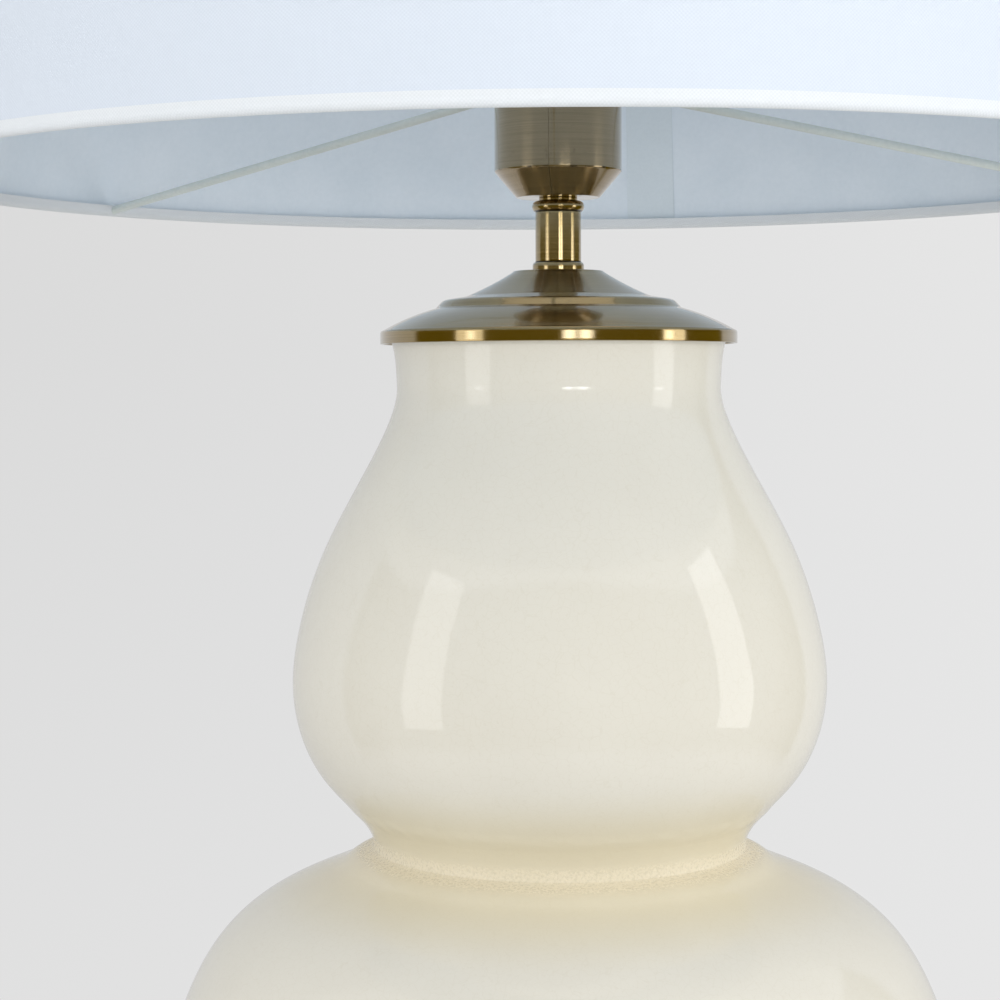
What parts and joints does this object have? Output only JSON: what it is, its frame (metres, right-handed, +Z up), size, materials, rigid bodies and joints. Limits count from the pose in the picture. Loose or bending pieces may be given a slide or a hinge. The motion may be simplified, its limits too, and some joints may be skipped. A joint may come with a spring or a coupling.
{
  "type": "double gourd table lamp",
  "caption": "Table lamp with a hollow glazed double gourd vase, a stepped brass cap, a brass lampholder and a tapered drum shade on wire arms.",
  "frame": {"origin": "on the lamp's axis, on the surface that the felt pad stands on", "axes": "+Z up along the lamp's axis, +Y towards the cord gland at the back"},
  "size_m": [0.4334, 0.4334, 0.6891],
  "materials": {
    "glaze": "glossy cream glaze with fine crackle",
    "antique_brass": "brushed antique brass, lacquered",
    "contact_brass": "bright pressed brass",
    "plated_steel": "zinc plated",
    "white_wire": "white powder coat",
    "shade_cloth": "fine plain woven cotton",
    "shade_lining": "matt laminated lining",
    "dark_plastic": "moulded phenolic",
    "socket_ceramic": "unglazed steatite",
    "soft_rubber": "soft moulded rubber",
    "felt": "pressed felt"
  },
  "bodies": {
    "base": {"felt_pad": "felt", "ceramic_body": "glaze", "cord_gland": "dark_plastic", "threaded_tube": "plated_steel", "foot_gasket": "soft_rubber", "clamp_plate": "plated_steel", "lock_washer": "plated_steel", "foot_nut": "plated_steel", "cap_gasket": "soft_rubber", "vase_cap": "antique_brass", "neck_collar": "antique_brass", "neck_tube": "antique_brass", "neck_ferrule": "antique_brass", "holder_cup": "antique_brass", "entry_nut": "plated_steel", "holder_skirt": "dark_plastic", "socket_insert": "socket_ceramic", "terminal_screws": "contact_brass", "screw_shell": "contact_brass", "side_contact": "contact_brass", "contact_tab": "contact_brass", "shade_rest_ring": "antique_brass"},
    "ring_nut": {"shade_ring_nut": "antique_brass"},
    "shade": {"shade_fitter": "white_wire", "shade_arm_1": "white_wire", "shade_arm_2": "white_wire", "shade_arm_3": "white_wire", "shade_bottom_ring": "white_wire", "shade_top_ring": "white_wire", "shade_cover": "shade_cloth", "shade_lining": "shade_lining", "shade_seam_tape": "shade_lining", "shade_hem_bottom": "shade_cloth", "shade_hem_top": "shade_cloth"},
    "contact": {"contact_tongue": "contact_brass"}
  },
  "joints": [
    {"name": "ring_nut_lift", "type": "slide", "parent": "base", "child": "ring_nut", "axis": [0, 0, 1], "range_m": [0, 0.08]},
    {"name": "shade_turn", "type": "hinge", "parent": "ring_nut", "child": "shade", "pos_m": [0, 0, 0.44175], "axis": [0, 0, 1], "continuous": true},
    {"name": "contact_spring", "type": "hinge", "parent": "base", "child": "contact", "pos_m": [-0.0065, 0, 0.4371], "axis": [0, 1, 0], "range_deg": [0, 14], "stiffness_Nm_per_rad": 0.12}
  ]
}
